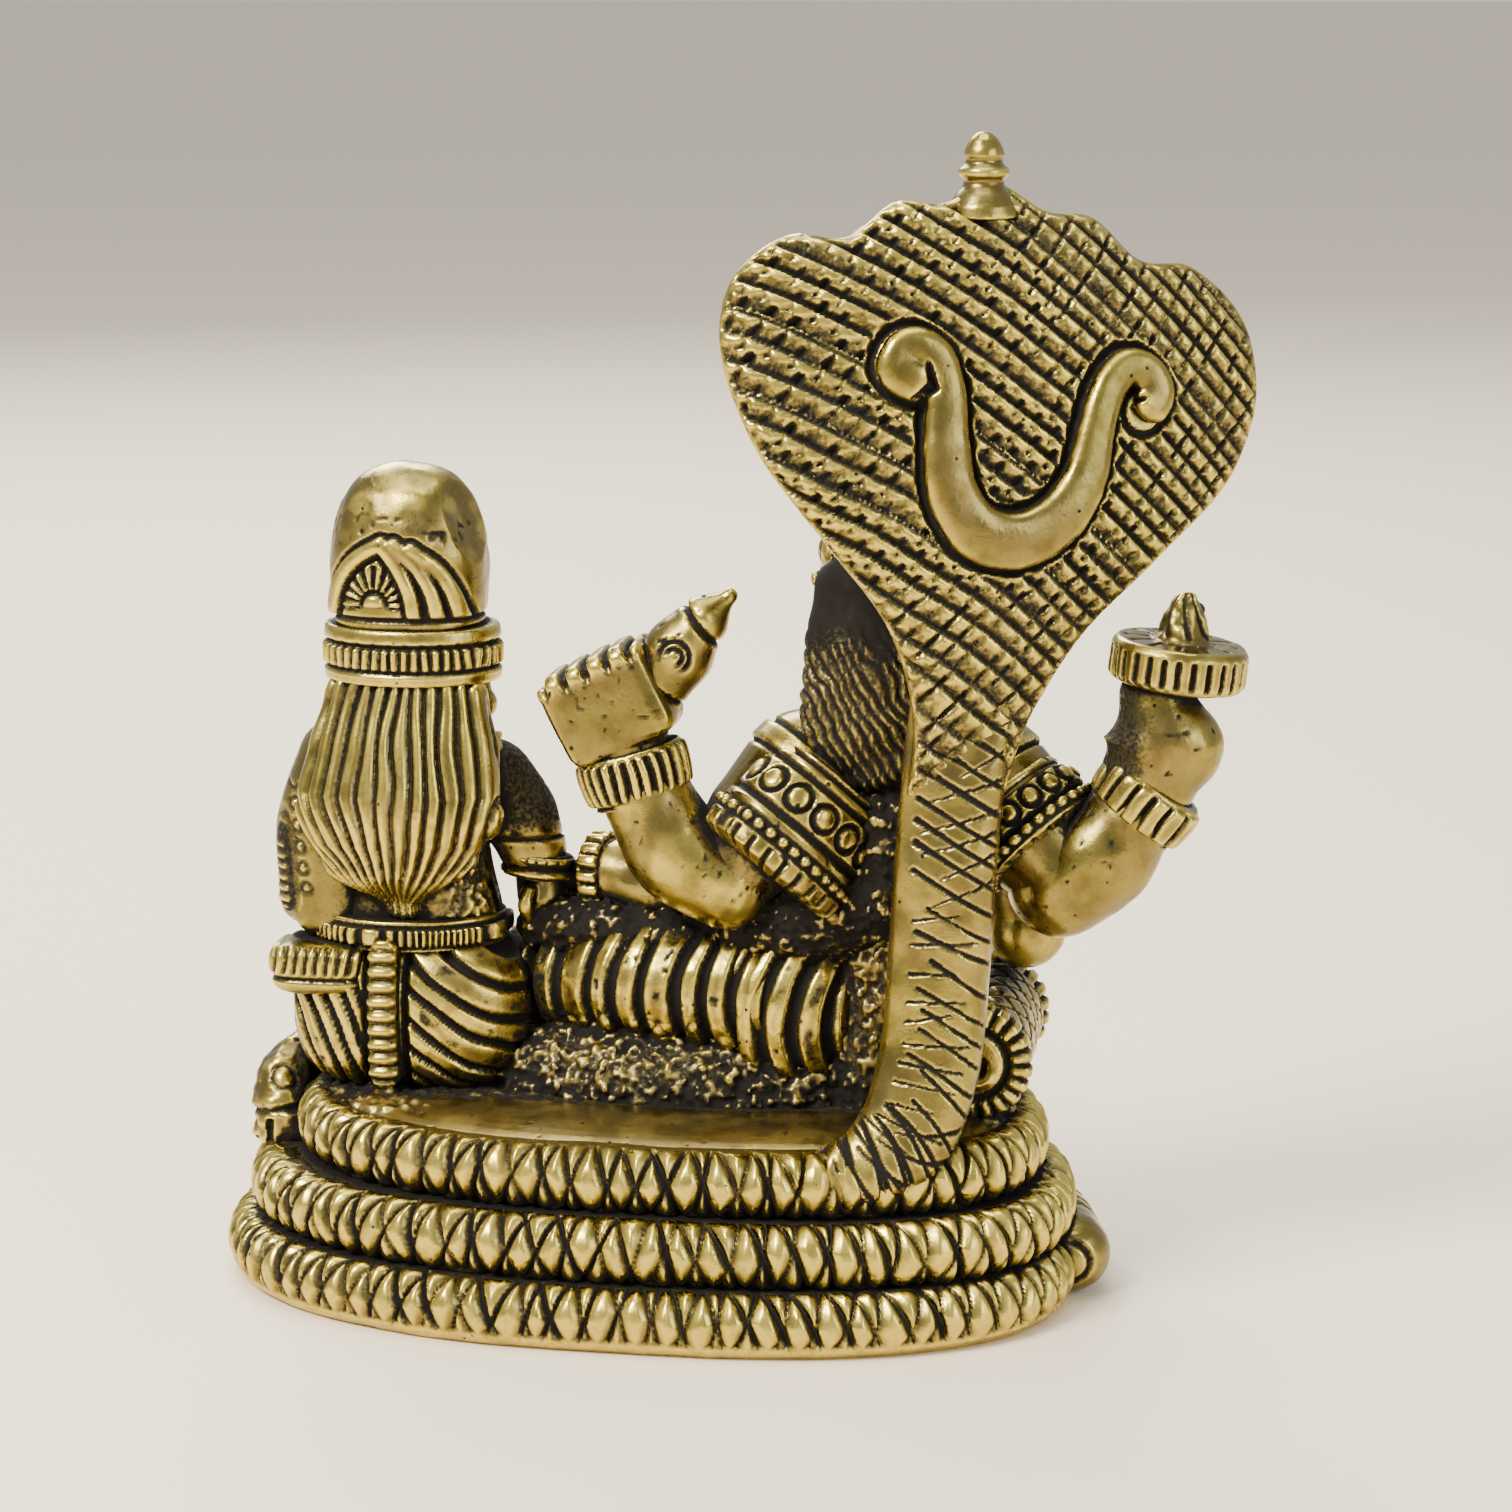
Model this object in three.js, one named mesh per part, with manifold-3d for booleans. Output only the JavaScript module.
// Brass shrine figure: Vishnu reclining on the coiled serpent Shesha, with Lakshmi seated at his feet.
// Millimetres, +Z up. The figures face -Y and the serpent's neck rises behind them, on the +Y side.
// Vishnu's head is towards -X and his feet towards +X. The origin is the centre of the resting face.
//
// The casting is described as its separately formed pieces. Pieces are listed from the ones that keep
// their whole shape to the ones that are fitted round them, and each is trimmed by those before it with
// a small joint gap, so that no two pieces overlap.
import * as THREE from "three";
import { mergeVertices } from "three/addons/utils/BufferGeometryUtils.js";
import Module from "manifold-3d";

const wasm = await Module();
wasm.setup();

// ---- driving dimensions ----
const JOINT_GAP = 0.3;
const COIL_HEIGHT = 5.4;
const COIL_ROUND = 2.6;
const COIL_POWER = 2.5; // 2 is an ellipse, and a higher power is squarer
const COIL_SKEW = -0.08; // hand-bent coils: the +Y side is pushed towards -X, the -Y side towards +X
const COILS = [
  { name: "coil_bottom", halfLength: 37.8, halfDepth: 24.4, centreX: 0 },
  { name: "coil_middle", halfLength: 36.6, halfDepth: 22.6, centreX: -0.9 },
  { name: "coil_top", halfLength: 33.2, halfDepth: 20.2, centreX: -1.8 },
];
const COIL_TOP = COILS.length * COIL_HEIGHT;
const BED = { halfLength: 29.4, halfDepth: 16.2, thickness: 0.7 };
const BED_TOP = COIL_TOP + BED.thickness;

const HOOD_ROOT = new THREE.Vector3(-28.0, 11.7, 46); // where the neck widens into the hood
const HOOD_TURN = THREE.MathUtils.degToRad(22); // the hood's back looks towards +Y, turned to -X
const HOOD_HALF_THICKNESS = 1.9;
const HOOD_LEAN = 0.0026; // forward curve of the hood, per mm of height squared
const HOOD_DRIFT = 4.6; // the hood swings this far to -X on its way up
const HOOD_SHEAR = 0.09; // the hand-made hood stands lower on its -X side
const HOOD_CUP = 0.006; // the two wings curve forward, per mm of width squared

const LAKSHMI_X = 20.9;
const CHAKRA = { radius: 5.8, thickness: 3.8 };
const BOLSTER_RADIUS = 5.2;

const BRASS = { color: 0xb39a4f, metalness: 1, roughness: 0.38 };
const DARK_BRASS = { color: 0x7d6a38, metalness: 1, roughness: 0.5 };

const X = new THREE.Vector3(1, 0, 0);
const Y = new THREE.Vector3(0, 1, 0);
const Z = new THREE.Vector3(0, 0, 1);
const at = (x, y, z) => new THREE.Vector3(x, y, z);

// ---- solids from three.js geometry ----

// A closed geometry as a solid, with shared vertices merged and collapsed triangles left out.
function solidFrom(geometry) {
  const bare = geometry.clone();
  bare.deleteAttribute("normal");
  bare.deleteAttribute("uv");
  const welded = mergeVertices(bare, 1e-3);
  const index = welded.index.array;
  const kept = [];
  for (let i = 0; i < index.length; i += 3) {
    const [a, b, c] = [index[i], index[i + 1], index[i + 2]];
    if (a !== b && b !== c && a !== c) kept.push(a, b, c);
  }
  const make = (triangles) =>
    new wasm.Manifold(
      new wasm.Mesh({
        numProp: 3,
        vertProperties: welded.attributes.position.array,
        triVerts: new Uint32Array(triangles),
      }),
    );
  const solid = make(kept);
  if (solid.volume() > 0) return solid;
  for (let i = 0; i < kept.length; i += 3) [kept[i], kept[i + 1]] = [kept[i + 1], kept[i]];
  return make(kept);
}

// A sphere's grid moved to new places: place(turn, row) is the point at that share of a turn on that row,
// and rows 0 and `rows` are the two poles.
function loft(columns, rows, place) {
  const geometry = new THREE.SphereGeometry(1, columns, rows);
  const { position, uv } = geometry.attributes;
  for (let i = 0; i < position.count; i++) {
    const row = Math.round((1 - uv.getY(i)) * rows);
    const pole = row === 0 || row === rows;
    const turn = pole ? 0 : (Math.round(uv.getX(i) * columns) % columns) / columns;
    const p = place(turn, row);
    position.setXYZ(i, p.x, p.y, p.z);
  }
  return solidFrom(geometry);
}

// A round-ended limb along a smooth curve. sizes are half-widths, each a number or [wide, deep], with the
// wide one across the limb in the direction of `side`.
function limb(points, sizes, { side = X, sides = 10, steps = 2, capRows = 2, grow = 0 } = {}) {
  const curve = new THREE.CatmullRomCurve3(points);
  const last = points.length - 1;
  const pairs = sizes.map((s) => (Array.isArray(s) ? s : [s, s]));
  const bodyRows = last * steps;
  const sizeAt = (t) => {
    const i = Math.min(Math.floor(t * last), last - 1);
    const f = t * last - i;
    const eased = f * f * (3 - 2 * f);
    return [0, 1].map((k) => THREE.MathUtils.lerp(pairs[i][k], pairs[i + 1][k], eased) + grow);
  };
  return loft(sides, bodyRows + 2 * capRows, (turn, row) => {
    const inBody = THREE.MathUtils.clamp((row - capRows) / bodyRows, 0, 1);
    const tangent = curve.getTangent(inBody);
    const [wide, deep] = sizeAt(inBody);
    const across = side.clone().addScaledVector(tangent, -side.dot(tangent)).normalize();
    const through = tangent.clone().cross(across);
    const capTurn = Math.max(capRows - row, row - capRows - bodyRows, 0) / capRows;
    const ring = Math.cos((capTurn * Math.PI) / 2);
    const beyond = Math.sin((capTurn * Math.PI) / 2) * Math.min(wide, deep) * (row < capRows ? -1 : 1);
    const angle = turn * 2 * Math.PI;
    return curve
      .getPoint(inBody)
      .addScaledVector(tangent, beyond)
      .addScaledVector(across, ring * wide * Math.cos(angle))
      .addScaledVector(through, ring * deep * Math.sin(angle));
  });
}

// An ellipsoid, squarer as power rises, turned by Euler angles in degrees.
function blob(centre, radii, { power = 2, turn = [0, 0, 0], columns = 14, rows = 8, grow = 0 } = {}) {
  const spin = new THREE.Euler(...turn.map(THREE.MathUtils.degToRad));
  return loft(columns, rows, (share, row) => {
    const polar = (row / rows) * Math.PI;
    const around = share * 2 * Math.PI;
    const d = at(Math.sin(polar) * Math.cos(around), Math.sin(polar) * Math.sin(around), Math.cos(polar));
    const size = (Math.abs(d.x) ** power + Math.abs(d.y) ** power + Math.abs(d.z) ** power) ** (-1 / power);
    d.multiplyScalar(size);
    return at(d.x * (radii[0] + grow), d.y * (radii[1] + grow), d.z * (radii[2] + grow))
      .applyEuler(spin)
      .add(centre);
  });
}

// A turned piece: profile points [radius, height] from one end on the axis to the other, standing on
// `centre` and pointing along `axis`. oval widens it by [x, y] before it is turned to its axis.
function turned(centre, axis, profile, { columns = 16, oval = [1, 1], grow = 0 } = {}) {
  const toAxis = new THREE.Quaternion().setFromUnitVectors(Z, axis.clone().normalize());
  const last = profile.length - 1;
  return loft(columns, last, (share, row) => {
    const [radius, height] = profile[row];
    const angle = share * 2 * Math.PI;
    const r = radius > 0 ? radius + grow : 0;
    const h = height + (row <= last / 2 ? -grow : grow);
    return at(r * oval[0] * Math.cos(angle), r * oval[1] * Math.sin(angle), h)
      .applyQuaternion(toAxis)
      .add(centre);
  });
}

// A short barrel such as a bangle, centred on a point of the limb that it goes round.
function barrel(centre, axis, radius, halfLength, options) {
  const profile = [
    [0, -halfLength],
    [radius * 0.93, -halfLength],
    [radius, -halfLength * 0.6],
    [radius, halfLength * 0.6],
    [radius * 0.93, halfLength],
    [0, halfLength],
  ];
  return turned(centre, axis, profile, options);
}

// ---- the serpent ----

function superellipse(share, halfLength, halfDepth, power) {
  const angle = share * 2 * Math.PI;
  const [c, s] = [Math.cos(angle), Math.sin(angle)];
  return [
    halfLength * Math.sign(c) * Math.abs(c) ** (2 / power),
    halfDepth * Math.sign(s) * Math.abs(s) ** (2 / power),
  ];
}

// One turn of the coiled body: a flat-topped slab with a half-round edge.
function coil(index, grow = 0) {
  const { halfLength, halfDepth, centreX } = COILS[index];
  const floor = index * COIL_HEIGHT;
  const edgeSteps = 4;
  const rows = edgeSteps + 4;
  return loft(56, rows, (share, row) => {
    const step = THREE.MathUtils.clamp(row - 2, 0, edgeSteps);
    const angle = (step / edgeSteps - 0.5) * Math.PI;
    const inset = COIL_ROUND * (1 - Math.cos(angle));
    const height = floor + COIL_HEIGHT * (0.5 + 0.5 * Math.sin(angle));
    const inner = row === 1 || row === rows - 1 ? 0.6 : 1;
    const [x, y] = superellipse(share, halfLength - inset + grow, halfDepth - inset + grow, COIL_POWER);
    const reach = row === 0 || row === rows ? 0 : inner;
    return at(centreX + (x + COIL_SKEW * y) * reach, y * reach, height + (angle < 0 ? -grow : grow));
  });
}

function bed(grow = 0) {
  const { halfLength, halfDepth, thickness } = BED;
  const layers = [
    [0, 0],
    [1, 0],
    [1, 0.55],
    [0.985, 1],
    [0, 1],
  ];
  return loft(40, layers.length - 1, (share, row) => {
    const [reach, rise] = layers[row];
    const [x, y] = superellipse(share, halfLength + grow, halfDepth + grow, COIL_POWER);
    return at(COILS[2].centreX + (x + COIL_SKEW * y) * reach, y * reach, COIL_TOP + rise * (thickness + grow));
  });
}

// The tail wraps the bottom coil from the front to the -X end, growing to a blunt rounded end.
const TAIL_SHARES = [0.8, 0.73, 0.65, 0.57, 0.495];
const tail = (grow) =>
  limb(
    TAIL_SHARES.map((share, i) => {
      const [x, y] = superellipse(share, COILS[0].halfLength - 0.2, COILS[0].halfDepth - 0.6, COIL_POWER);
      return at(x + COIL_SKEW * y, y, 2.8 + 0.18 * i);
    }),
    [1.2, 2.2, 2.6, 3.0, 3.4],
    { side: Z, grow },
  );

const serpentNeck = (grow) =>
  limb(
    [
      at(-15, 15.4, 13.4),
      at(-20, 16.0, 14.2),
      at(-24.2, 14.6, 17.2),
      at(-26.2, 13.2, 23),
      at(-26.9, 12.4, 31),
      at(-27.3, 12.0, 39),
      at(-27.8, 11.7, 46.5),
    ],
    [[2.0, 2.0], [3.2, 2.8], [4.2, 3.1], [4.3, 3.1], [4.3, 3.0], [4.3, 3.0], [4.5, 2.6]],
    { sides: 12, grow },
  );

// A point of the hood: `out` runs across it towards -X, `up` is above its root, `back` is behind its middle
// surface. The wings are cupped forward, and the whole hood leans over the figure's head.
const HOOD_OUT = at(-Math.cos(HOOD_TURN), -Math.sin(HOOD_TURN), 0);
const HOOD_BACK = at(-Math.sin(HOOD_TURN), Math.cos(HOOD_TURN), 0);
function onHood(out, up, back) {
  const height = up - HOOD_SHEAR * out * Math.min(1, Math.max(0, up / 30));
  const swing = HOOD_DRIFT * Math.sin((Math.min(1, Math.max(0, up / 34)) * Math.PI) / 2);
  const depth = back - HOOD_LEAN * up * up - HOOD_CUP * out * out * Math.min(1, up / 30);
  return HOOD_ROOT.clone()
    .addScaledVector(HOOD_OUT, out)
    .addScaledVector(X, -swing)
    .addScaledVector(HOOD_BACK, depth)
    .addScaledVector(Z, height);
}

// Half of the hood's outline, from the neck up over the outer and inner lobes to the middle one.
const HOOD_HALF_OUTLINE = [
  [4.1, -0.5],
  [5.0, 6.5],
  [8.1, 13.5],
  [14.2, 20.4],
  [20.3, 27.2],
  [23.1, 34.6],
  [22.0, 40.8],
  [17.2, 44.8],
  [12.6, 45.0],
  [8.4, 48.2],
  [4.4, 48.4],
];
const HOOD_TOP = 50.4;
const HOOD_CENTRE = [0, 32];

function hood(grow = 0) {
  const right = HOOD_HALF_OUTLINE.map(([out, up]) => new THREE.Vector2(out, up));
  const left = [...right].reverse().map((p) => new THREE.Vector2(-p.x, p.y));
  const outline = new THREE.SplineCurve([...right, new THREE.Vector2(0, HOOD_TOP), ...left]);
  const [centreOut, centreUp] = HOOD_CENTRE;
  const rows = 8;
  return loft(60, rows, (share, row) => {
    const angle = (row / rows - 0.5) * Math.PI;
    const p = outline.getPoint(share);
    const reach = Math.cos(angle) ** 0.45 + (Math.cos(angle) > 0 ? grow / 20 : 0);
    const pole = row === 0 || row === rows;
    const back = Math.sign(angle) * Math.abs(Math.sin(angle)) ** 0.9 * (HOOD_HALF_THICKNESS + grow);
    return onHood(
      pole ? centreOut : centreOut + (p.x - centreOut) * reach,
      pole ? centreUp : centreUp + (p.y - centreUp) * reach,
      back,
    );
  });
}

// The raised spectacle mark on the hood's back, a horseshoe with a curl at each end.
const MARK_PATH = [
  [-8.6, 35.0],
  [-10.3, 36.2],
  [-9.1, 38.3],
  [-6.9, 37.8],
  [-5.9, 35.0],
  [-5.7, 30.5],
  [-5.0, 25.8],
  [-2.8, 22.6],
  [0.6, 21.6],
  [4.1, 23.1],
  [6.5, 26.8],
  [7.5, 31.6],
  [8.8, 35.4],
  [11.0, 37.3],
  [13.4, 36.2],
  [12.6, 33.8],
];
const MARK_HALF_WIDTHS = [1.6, 1.8, 1.8, 1.7, 1.8, 1.9, 2.1, 2.4, 2.5, 2.4, 2.1, 1.9, 1.8, 1.8, 1.7, 1.5];
const hoodMark = (grow) =>
  limb(
    MARK_PATH.map(([out, up]) => onHood(out, up + HOOD_SHEAR * out * 0.6, HOOD_HALF_THICKNESS + 0.3)),
    MARK_HALF_WIDTHS.map((half) => [0.95, half]),
    { side: HOOD_BACK, sides: 8, steps: 2, capRows: 2, grow },
  );

// Turned crest on the middle lobe: stacked rings under a pointed tip.
const CREST = [
  [0, -2.6],
  [2.9, -2.6],
  [2.6, -0.2],
  [2.1, 0.5],
  [2.3, 1.1],
  [1.8, 1.8],
  [1.9, 2.4],
  [1.4, 3.1],
  [0.5, 4.3],
  [0, 4.5],
];
const crestSeat = onHood(-0.8, HOOD_TOP - 0.4, -0.4);
const hoodCrest = (grow) => turned(crestSeat, Z, CREST, { columns: 16, grow });

// A cobra's head looks forward and down from the front of its lobe.
const COBRA_HEADS = [
  { name: "cobra_head_middle", out: 0, up: 45.4, size: 1.15 },
  { name: "cobra_head_inner_right", out: 8.4, up: 43.6, size: 1 },
  { name: "cobra_head_inner_left", out: -8.4, up: 43.6, size: 1 },
  { name: "cobra_head_outer_right", out: 16.4, up: 39.8, size: 1 },
  { name: "cobra_head_outer_left", out: -16.4, up: 39.8, size: 1 },
];
function cobraHead({ out, up, size }, grow) {
  const along = [
    onHood(out, up + 0.6 * size, -1.6),
    onHood(out * 1.02, up + 0.4 * size, -4.2 * size - 0.6),
    onHood(out * 1.04, up - 1.6 * size, -7.4 * size - 0.6),
  ];
  const sizes = [[2.9, 2.2], [3.2, 2.3], [1.7, 1.2]].map((pair) => pair.map((s) => s * size));
  return limb(along, sizes, { side: HOOD_OUT, grow });
}

// ---- Vishnu ----

const HIPS = at(-12.6, -1, 24.7);
const SHOULDER = { left: at(-14.2, 0.8, 45.2), right: at(-29.6, 0.8, 45.2) };
const ELBOW = { rearLeft: at(-7.4, 4.6, 36.6), rearRight: at(-36.8, 3.6, 38) };
const WRIST = { rearLeft: at(-0.4, 4.6, 44.2), rearRight: at(-42.6, 4, 43.9) };
const ARMLET_AXIS = {
  left: ELBOW.rearLeft.clone().sub(SHOULDER.left),
  right: ELBOW.rearRight.clone().sub(SHOULDER.right),
};
const along = (a, b, share) => a.clone().lerp(b, share);

// The rough ground that the reclining figure lies on, over the bed, rising between the hips and the neck.
const ground = (grow) =>
  blob(at(-3.5, -2.4, 16.9), [19.5, 9.6, 6.2], { power: 2.4, columns: 28, grow }).add(
    limb([at(-19.5, 1, 18), at(-20.8, 1, 29), at(-21.4, 1, 38)], [4.6, 4.2, 3.4], { grow }),
  );
// Rough metal that closes the gap between the legs and the forearms.
const forearmWeb = (grow) =>
  limb([at(-6, 0.4, 30), at(2, -0.6, 30.2), at(10, -2, 30.6)], [3.4, 2.9, 2.3], { grow });
const hips = (grow) => blob(HIPS, [8.0, 7.8, 8.0], { power: 2.2, columns: 16, rows: 10, grow });
const leftLeg = (grow) =>
  limb(
    [at(-9, 0.6, 26), at(-1, 0, 26.2), at(8, -3.4, 25.2), at(20, -9.6, 22.4), at(28.0, -8.6, 19.8), at(31.2, -5.0, 18.6)],
    [5.8, 5.4, 4.7, 3.9, 3.0, 2.5],
    { side: Z, grow },
  );
const rightLeg = (grow) =>
  limb(
    [at(-9, -6.4, 22.8), at(1, -9, 22), at(12, -12.4, 21), at(24, -12.2, 19.4), at(31.0, -9.4, 16.6)],
    [5.6, 4.9, 4.0, 2.7, 2.1],
    { side: Z, grow },
  );
const leftFoot = (grow) =>
  limb([at(32.0, -3.2, 16.6), at(33.9, -0.4, 15.2), at(34.2, 2.4, 13.2)], [[2.4, 2.8], [2.3, 2.9], [1.8, 2.4]], {
    side: X,
    grow,
  });
const rightFoot = (grow) =>
  limb([at(32.8, -8.6, 13.8), at(34.9, -5.0, 11.8), at(35.2, -0.6, 9.6)], [[2.2, 2.6], [2.3, 2.2], [1.8, 1.6]], {
    side: X,
    grow,
  });
const vishnuTorso = (grow) =>
  limb(
    [at(-14.6, -1, 29.5), at(-17.2, -0.8, 35.5), at(-20.4, -0.4, 41.2), at(-21.8, 0, 46.4)],
    [[6.8, 5.6], [6.0, 4.8], [8.0, 5.8], [7.6, 4.6]],
    { sides: 12, grow },
  );
const vishnuBelt = (grow) =>
  barrel(at(-15.6, -0.9, 32.2), at(-0.42, 0, 0.9), 7.0, 1.3, { oval: [1.04, 0.86], columns: 16, grow });
const vishnuHead = (grow) =>
  limb([at(-21.8, -0.6, 48), at(-21.4, -1.0, 51.4), at(-20.9, -1.6, 55.4), at(-20.7, -1.5, 60)], [
    [3.6, 3.4],
    [3.7, 3.7],
    [5.2, 5.2],
    [5.0, 5.2],
  ], { sides: 12, grow });
const vishnuHair = (grow) =>
  limb([at(-20.2, 2.8, 62.4), at(-20.2, 3.6, 56.6), at(-20.6, 4.4, 51.2), at(-22.4, 4.6, 47.6)], [
    [5.2, 2.8],
    [6.1, 3.4],
    [6.6, 3.0],
    [5.0, 1.8],
  ], { sides: 12, grow });
const CROWN_PROFILE = [
  [0, 0],
  [5.9, 0],
  [6.2, 1.1],
  [5.6, 2.3],
  [5.3, 4.6],
  [4.9, 8.2],
  [4.2, 11.6],
  [3.0, 14.2],
  [2.0, 15.4],
  [1.9, 16.4],
  [1.0, 17.9],
  [0, 18.3],
];
const vishnuCrown = (grow) => turned(at(-20.6, -1.4, 61.4), at(0.02, -0.04, 1), CROWN_PROFILE, { columns: 16, grow });

const rearLeftUpperArm = (grow) =>
  limb([SHOULDER.left, along(SHOULDER.left, ELBOW.rearLeft, 0.5), ELBOW.rearLeft], [5.9, 5.6, 4.1], { side: Y, grow });
const rearRightUpperArm = (grow) =>
  limb([SHOULDER.right, along(SHOULDER.right, ELBOW.rearRight, 0.5), ELBOW.rearRight], [5.7, 5.4, 4.5], {
    side: Y,
    grow,
  });
const rearLeftArmlet = (grow) =>
  barrel(at(-14.7, 2.7, 40.9), ARMLET_AXIS.left, 6.6, 3.9, { columns: 16, oval: [1.3, 1], grow });
const rearRightArmlet = (grow) =>
  barrel(along(SHOULDER.right, ELBOW.rearRight, 0.42), ARMLET_AXIS.right, 6.2, 2.5, { columns: 16, grow });
const rearLeftForearm = (grow) =>
  limb([at(-7.6, 4.6, 36.4), at(-3.8, 4.7, 38.8), at(-0.9, 4.6, 43.2)], [4.2, 4.5, 4.0], { side: Y, grow });
const rearRightForearm = (grow) =>
  limb([at(-36.4, 3.4, 37.0), at(-39.6, 3.8, 39.6), at(-42.2, 4, 43.2)], [4.6, 4.7, 3.9], { side: Y, grow });
const rearLeftBracelet = (grow) =>
  barrel(at(0.3, 4.6, 45.6), at(0.28, 0, 0.96), 4.7, 2.3, { oval: [1, 0.86], columns: 16, grow });
const rearRightBracelet = (grow) =>
  barrel(at(-43.3, 4, 44.6), at(-0.6, 0, 0.8), 4.5, 2.1, { oval: [1, 0.9], columns: 16, grow });
const rearLeftHand = (grow) =>
  blob(at(2.3, 4.8, 51.9), [5.1, 3.6, 4.2], { power: 7, turn: [0, 26, 0], columns: 16, rows: 8, grow });
const rearRightHand = (grow) =>
  limb([at(-43.8, 4, 46.8), at(-44.7, 4, 49.6), at(-44.2, 4, 53.6)], [[4.2, 3.6], [5.2, 4.0], [3.2, 3.1]], { grow });
const conch = (grow) =>
  limb([at(-1.6, 4.9, 52.6), at(-3.6, 4.9, 56.4), at(-5.9, 4.9, 59.4), at(-8.0, 4.9, 61.4)], [2.3, 3.1, 2.2, 0.6], {
    side: Y,
    grow,
  });

// The discus lies flat on the raised hand, with a flame on top.
const DISCUS = [
  [0, 0],
  [CHAKRA.radius * 0.9, 0],
  [CHAKRA.radius, 0.5],
  [CHAKRA.radius, CHAKRA.thickness - 0.5],
  [CHAKRA.radius * 0.94, CHAKRA.thickness],
  [2.3, CHAKRA.thickness + 0.1],
  [2.0, CHAKRA.thickness + 1.4],
  [1.3, CHAKRA.thickness + 3.2],
  [0.6, CHAKRA.thickness + 4.1],
  [0, CHAKRA.thickness + 4.3],
];
const chakra = (grow) => turned(at(-45.7, 4, 54.6), at(-0.12, 0, 0.99), DISCUS, { columns: 16, grow });

const frontLeftUpperArm = (grow) =>
  limb([at(-14.8, -3.4, 44.6), at(-10.6, -4.4, 40.4), at(-6.0, -3.4, 37.2)], [4.3, 3.8, 3.4], { side: Y, grow });
const frontLeftForearm = (grow) =>
  limb([at(-6.4, -2.4, 35.8), at(-1.4, -2.0, 34.6), at(3.4, -3.0, 35.0)], [3.5, 3.6, 3.0], { side: Y, grow });
const frontLeftBracelet = (grow) => barrel(at(4.8, -3.4, 35.0), at(0.96, -0.26, -0.05), 3.4, 1.2, { columns: 16, grow });
const frontLeftHand = (grow) =>
  limb([at(6.4, -4.0, 34.6), at(9.0, -5.6, 33.2), at(11.2, -7.4, 31.0)], [[2.3, 2.6], [2.0, 2.9], [1.2, 2.2]], {
    side: Z,
    grow,
  });
const frontRightUpperArm = (grow) =>
  limb([at(-28.6, -3.4, 44.4), at(-31.8, -4.4, 39.4), at(-32.8, -4.2, 33.4)], [4.4, 4.2, 3.6], { side: Y, grow });
const frontRightForearm = (grow) =>
  limb([at(-32.8, -4.0, 31.2), at(-31.8, -8.2, 30.6), at(-29.8, -12.6, 31.6)], [3.6, 3.3, 2.7], { side: X, grow });
const frontRightBracelet = (grow) =>
  barrel(at(-29.2, -14.0, 32.1), at(0.4, -0.88, 0.32), 3.3, 1.2, { columns: 16, grow });
const frontRightHand = (grow) =>
  limb([at(-28.6, -15.2, 32.8), at(-27.6, -16.4, 35.6), at(-26.8, -16.8, 39.4)], [[2.5, 1.7], [3.1, 1.6], [2.2, 1.0]], {
    side: X,
    grow,
  });

const bolster = (grow) =>
  turned(
    at(-29.2, -13.2, BED_TOP + BOLSTER_RADIUS - 0.5),
    Y,
    [
      [0, 0],
      [3.4, 0.2],
      [BOLSTER_RADIUS, 0.4],
      [BOLSTER_RADIUS, 2.0],
      [BOLSTER_RADIUS - 0.5, 2.8],
      [BOLSTER_RADIUS - 0.5, 17.2],
      [BOLSTER_RADIUS, 18.0],
      [BOLSTER_RADIUS, 19.6],
      [3.4, 19.8],
      [0, 20.0],
    ],
    { columns: 16, grow },
  );

// ---- Lakshmi ----

const lakshmiSkirt = (grow) =>
  blob(at(LAKSHMI_X + 0.4, -1.0, 23.2), [10.6, 8.0, 7.4], { power: 2.9, columns: 20, rows: 8, grow });
const lakshmiBelt = (grow) =>
  barrel(at(LAKSHMI_X + 0.9, -0.4, 30.6), Z, 9.2, 1.4, { oval: [1, 0.74], columns: 16, grow });
const lakshmiSash = (grow) =>
  limb([at(22.3, 6.6, 29.4), at(22.3, 7.2, 24), at(22.3, 6.8, 18.6)], [[1.5, 1.1], [1.6, 1.1], [1.6, 1.1]], {
    capRows: 1,
    grow,
  });
const lakshmiTorso = (grow) =>
  limb([at(21.4, -0.4, 31), at(21.0, -0.6, 38), at(20.8, -0.2, 46)], [[8.2, 5.2], [6.6, 5.0], [8.0, 4.4]], {
    sides: 14,
    grow,
  });
const lakshmiHead = (grow) =>
  limb([at(20.8, -1.0, 47.6), at(20.8, -1.2, 50.6), at(20.8, -1.6, 54.6), at(20.8, -1.2, 60)], [
    [3.4, 3.2],
    [3.6, 3.6],
    [5.3, 5.4],
    [5.2, 5.2],
  ], { sides: 12, grow });
const lakshmiHairBand = (grow) =>
  barrel(at(20.8, 0.6, 55.2), Z, 7.8, 2.6, { oval: [1, 0.78], columns: 16, grow });
const lakshmiHeaddress = (grow) =>
  blob(at(20.9, 0.8, 62.2), [6.9, 5.6, 9.6], { power: 2.4, columns: 18, rows: 10, grow });
const lakshmiHair = (grow) =>
  limb(
    [at(20.7, 3.0, 51.6), at(20.8, 4.0, 46.6), at(21.2, 4.8, 41.6), at(21.2, 4.6, 37), at(21.0, 4.2, 33.2)],
    [[7.2, 3.2], [8.4, 3.6], [9.1, 3.8], [6.8, 3.3], [1.9, 1.6]],
    { sides: 12, grow },
  );
const lakshmiLeftArm = (grow) =>
  limb([at(28.2, -0.6, 45.2), at(30.2, 0.2, 39.4), at(30.4, 1.0, 33.2)], [[3.4, 3.8], [3.3, 3.8], [2.9, 3.6]], { grow });
const lakshmiLeftHand = (grow) =>
  blob(at(28.6, 3.2, 27.4), [4.5, 4.0, 2.4], { power: 4, columns: 16, rows: 10, grow });
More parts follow.
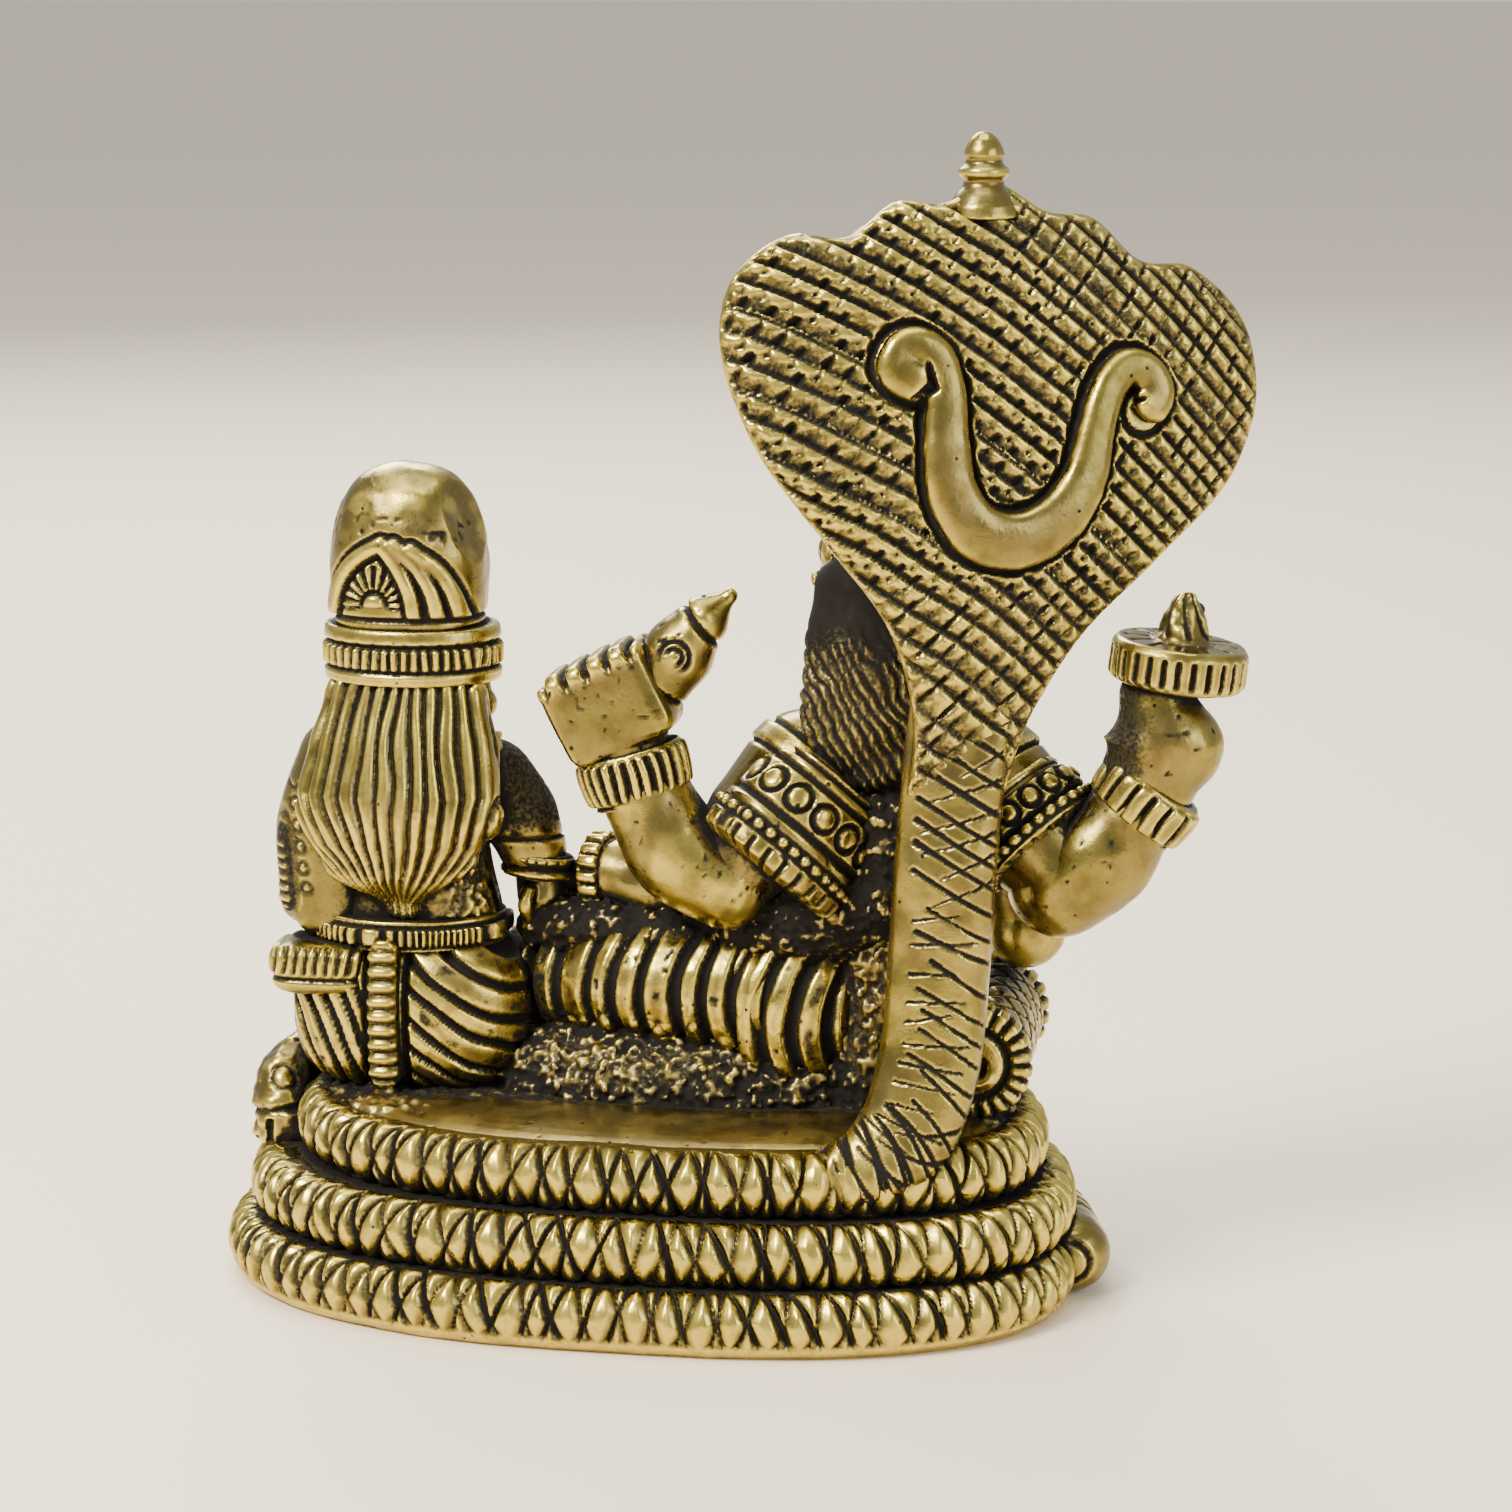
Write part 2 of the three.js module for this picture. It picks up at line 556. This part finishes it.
const lakshmiRightArm = (grow) =>
  limb([at(14.2, -1.2, 43.6), at(12.2, -1.6, 40.6), at(10.9, -2.0, 37.4)], [[3.6, 3.6], [3.6, 3.3], [3.1, 2.9]], { grow });
const lakshmiRightBangle = (grow) => barrel(at(10.5, -2.2, 35.8), at(-0.12, -0.1, 1), 3.3, 1.3, { columns: 16, grow });
const lakshmiRightHand = (grow) =>
  limb([at(10.3, -2.4, 34.4), at(9.9, -2.6, 31.6), at(9.6, -3.0, 29.6)], [[2.7, 2.5], [2.5, 2.2], [1.5, 1.3]], { grow });

// ---- assembly ----

// In order of fit: each piece is trimmed by the ones above it.
const PIECES = [
  ...COILS.map(({ name }, index) => [name, (grow) => coil(index, grow), BRASS]),
  ["bed", bed, DARK_BRASS],
  ["serpent_tail", tail, BRASS],
  ["hood_mark", hoodMark, BRASS],
  ["hood_crest", hoodCrest, BRASS],
  ["serpent_hood", hood, BRASS],
  ["serpent_neck", serpentNeck, BRASS],
  ...COBRA_HEADS.map((head) => [head.name, (grow) => cobraHead(head, grow), BRASS]),
  ["vishnu_rear_left_bracelet", rearLeftBracelet, BRASS],
  ["vishnu_rear_right_bracelet", rearRightBracelet, BRASS],
  ["vishnu_front_left_bracelet", frontLeftBracelet, BRASS],
  ["vishnu_front_right_bracelet", frontRightBracelet, BRASS],
  ["vishnu_rear_left_armlet", rearLeftArmlet, BRASS],
  ["vishnu_rear_right_armlet", rearRightArmlet, BRASS],
  ["vishnu_rear_left_forearm", rearLeftForearm, BRASS],
  ["vishnu_rear_right_forearm", rearRightForearm, BRASS],
  ["vishnu_rear_left_upper_arm", rearLeftUpperArm, BRASS],
  ["vishnu_rear_right_upper_arm", rearRightUpperArm, BRASS],
  ["vishnu_chakra", chakra, BRASS],
  ["vishnu_rear_left_hand", rearLeftHand, BRASS],
  ["vishnu_rear_right_hand", rearRightHand, BRASS],
  ["vishnu_conch", conch, BRASS],
  ["vishnu_crown", vishnuCrown, BRASS],
  ["vishnu_head", vishnuHead, BRASS],
  ["vishnu_hair", vishnuHair, DARK_BRASS],
  ["bolster", bolster, BRASS],
  ["vishnu_belt", vishnuBelt, BRASS],
  ["vishnu_hips", hips, BRASS],
  ["vishnu_torso", vishnuTorso, DARK_BRASS],
  ["vishnu_front_left_forearm", frontLeftForearm, BRASS],
  ["vishnu_front_right_forearm", frontRightForearm, BRASS],
  ["vishnu_front_left_upper_arm", frontLeftUpperArm, BRASS],
  ["vishnu_front_right_upper_arm", frontRightUpperArm, BRASS],
  ["vishnu_front_left_hand", frontLeftHand, BRASS],
  ["vishnu_front_right_hand", frontRightHand, BRASS],
  ["lakshmi_hair_band", lakshmiHairBand, BRASS],
  ["lakshmi_headdress", lakshmiHeaddress, BRASS],
  ["lakshmi_hair", lakshmiHair, BRASS],
  ["lakshmi_belt", lakshmiBelt, BRASS],
  ["lakshmi_sash", lakshmiSash, BRASS],
  ["lakshmi_left_hand", lakshmiLeftHand, BRASS],
  ["lakshmi_right_bangle", lakshmiRightBangle, BRASS],
  ["lakshmi_right_arm", lakshmiRightArm, BRASS],
  ["lakshmi_left_arm", lakshmiLeftArm, BRASS],
  ["lakshmi_head", lakshmiHead, BRASS],
  ["lakshmi_torso", lakshmiTorso, BRASS],
  ["lakshmi_skirt", lakshmiSkirt, BRASS],
  ["vishnu_left_leg", leftLeg, BRASS],
  ["vishnu_right_leg", rightLeg, BRASS],
  ["vishnu_left_foot", leftFoot, BRASS],
  ["vishnu_right_foot", rightFoot, BRASS],
  ["lakshmi_right_hand", lakshmiRightHand, BRASS],
  ["ground", ground, DARK_BRASS],
  ["forearm_web", forearmWeb, DARK_BRASS],
];

function boxesMeet(a, b) {
  const [p, q] = [a.boundingBox(), b.boundingBox()];
  return [0, 1, 2].every((k) => p.min[k] <= q.max[k] && q.min[k] <= p.max[k]);
}

function largestBody(solid) {
  return solid.decompose().reduce((best, body) => (body.volume() > best.volume() ? body : best));
}

function meshFrom(name, solid, look) {
  const { numProp, vertProperties, triVerts } = solid.getMesh();
  const points = new Float32Array((vertProperties.length / numProp) * 3);
  for (let i = 0; i < points.length / 3; i++) {
    points.set(vertProperties.subarray(i * numProp, i * numProp + 3), i * 3);
  }
  const geometry = new THREE.BufferGeometry()
    .setAttribute("position", new THREE.BufferAttribute(points, 3))
    .setIndex(new THREE.BufferAttribute(new Uint32Array(triVerts), 1));
  geometry.computeVertexNormals();
  const mesh = new THREE.Mesh(geometry, new THREE.MeshStandardMaterial(look));
  mesh.name = name;
  return mesh;
}

const figure = new THREE.Group();
const fitted = [];
for (const [name, build, look] of PIECES) {
  let solid = build(0);
  const coilPiece = name.startsWith("coil_") || name === "bed";
  for (const earlier of fitted) {
    if (!coilPiece && boxesMeet(solid, earlier.grown)) solid = solid.subtract(earlier.grown);
  }
  fitted.push({ grown: build(JOINT_GAP) });
  figure.add(meshFrom(name, largestBody(solid).simplify(0.04), look));
}

export default figure;
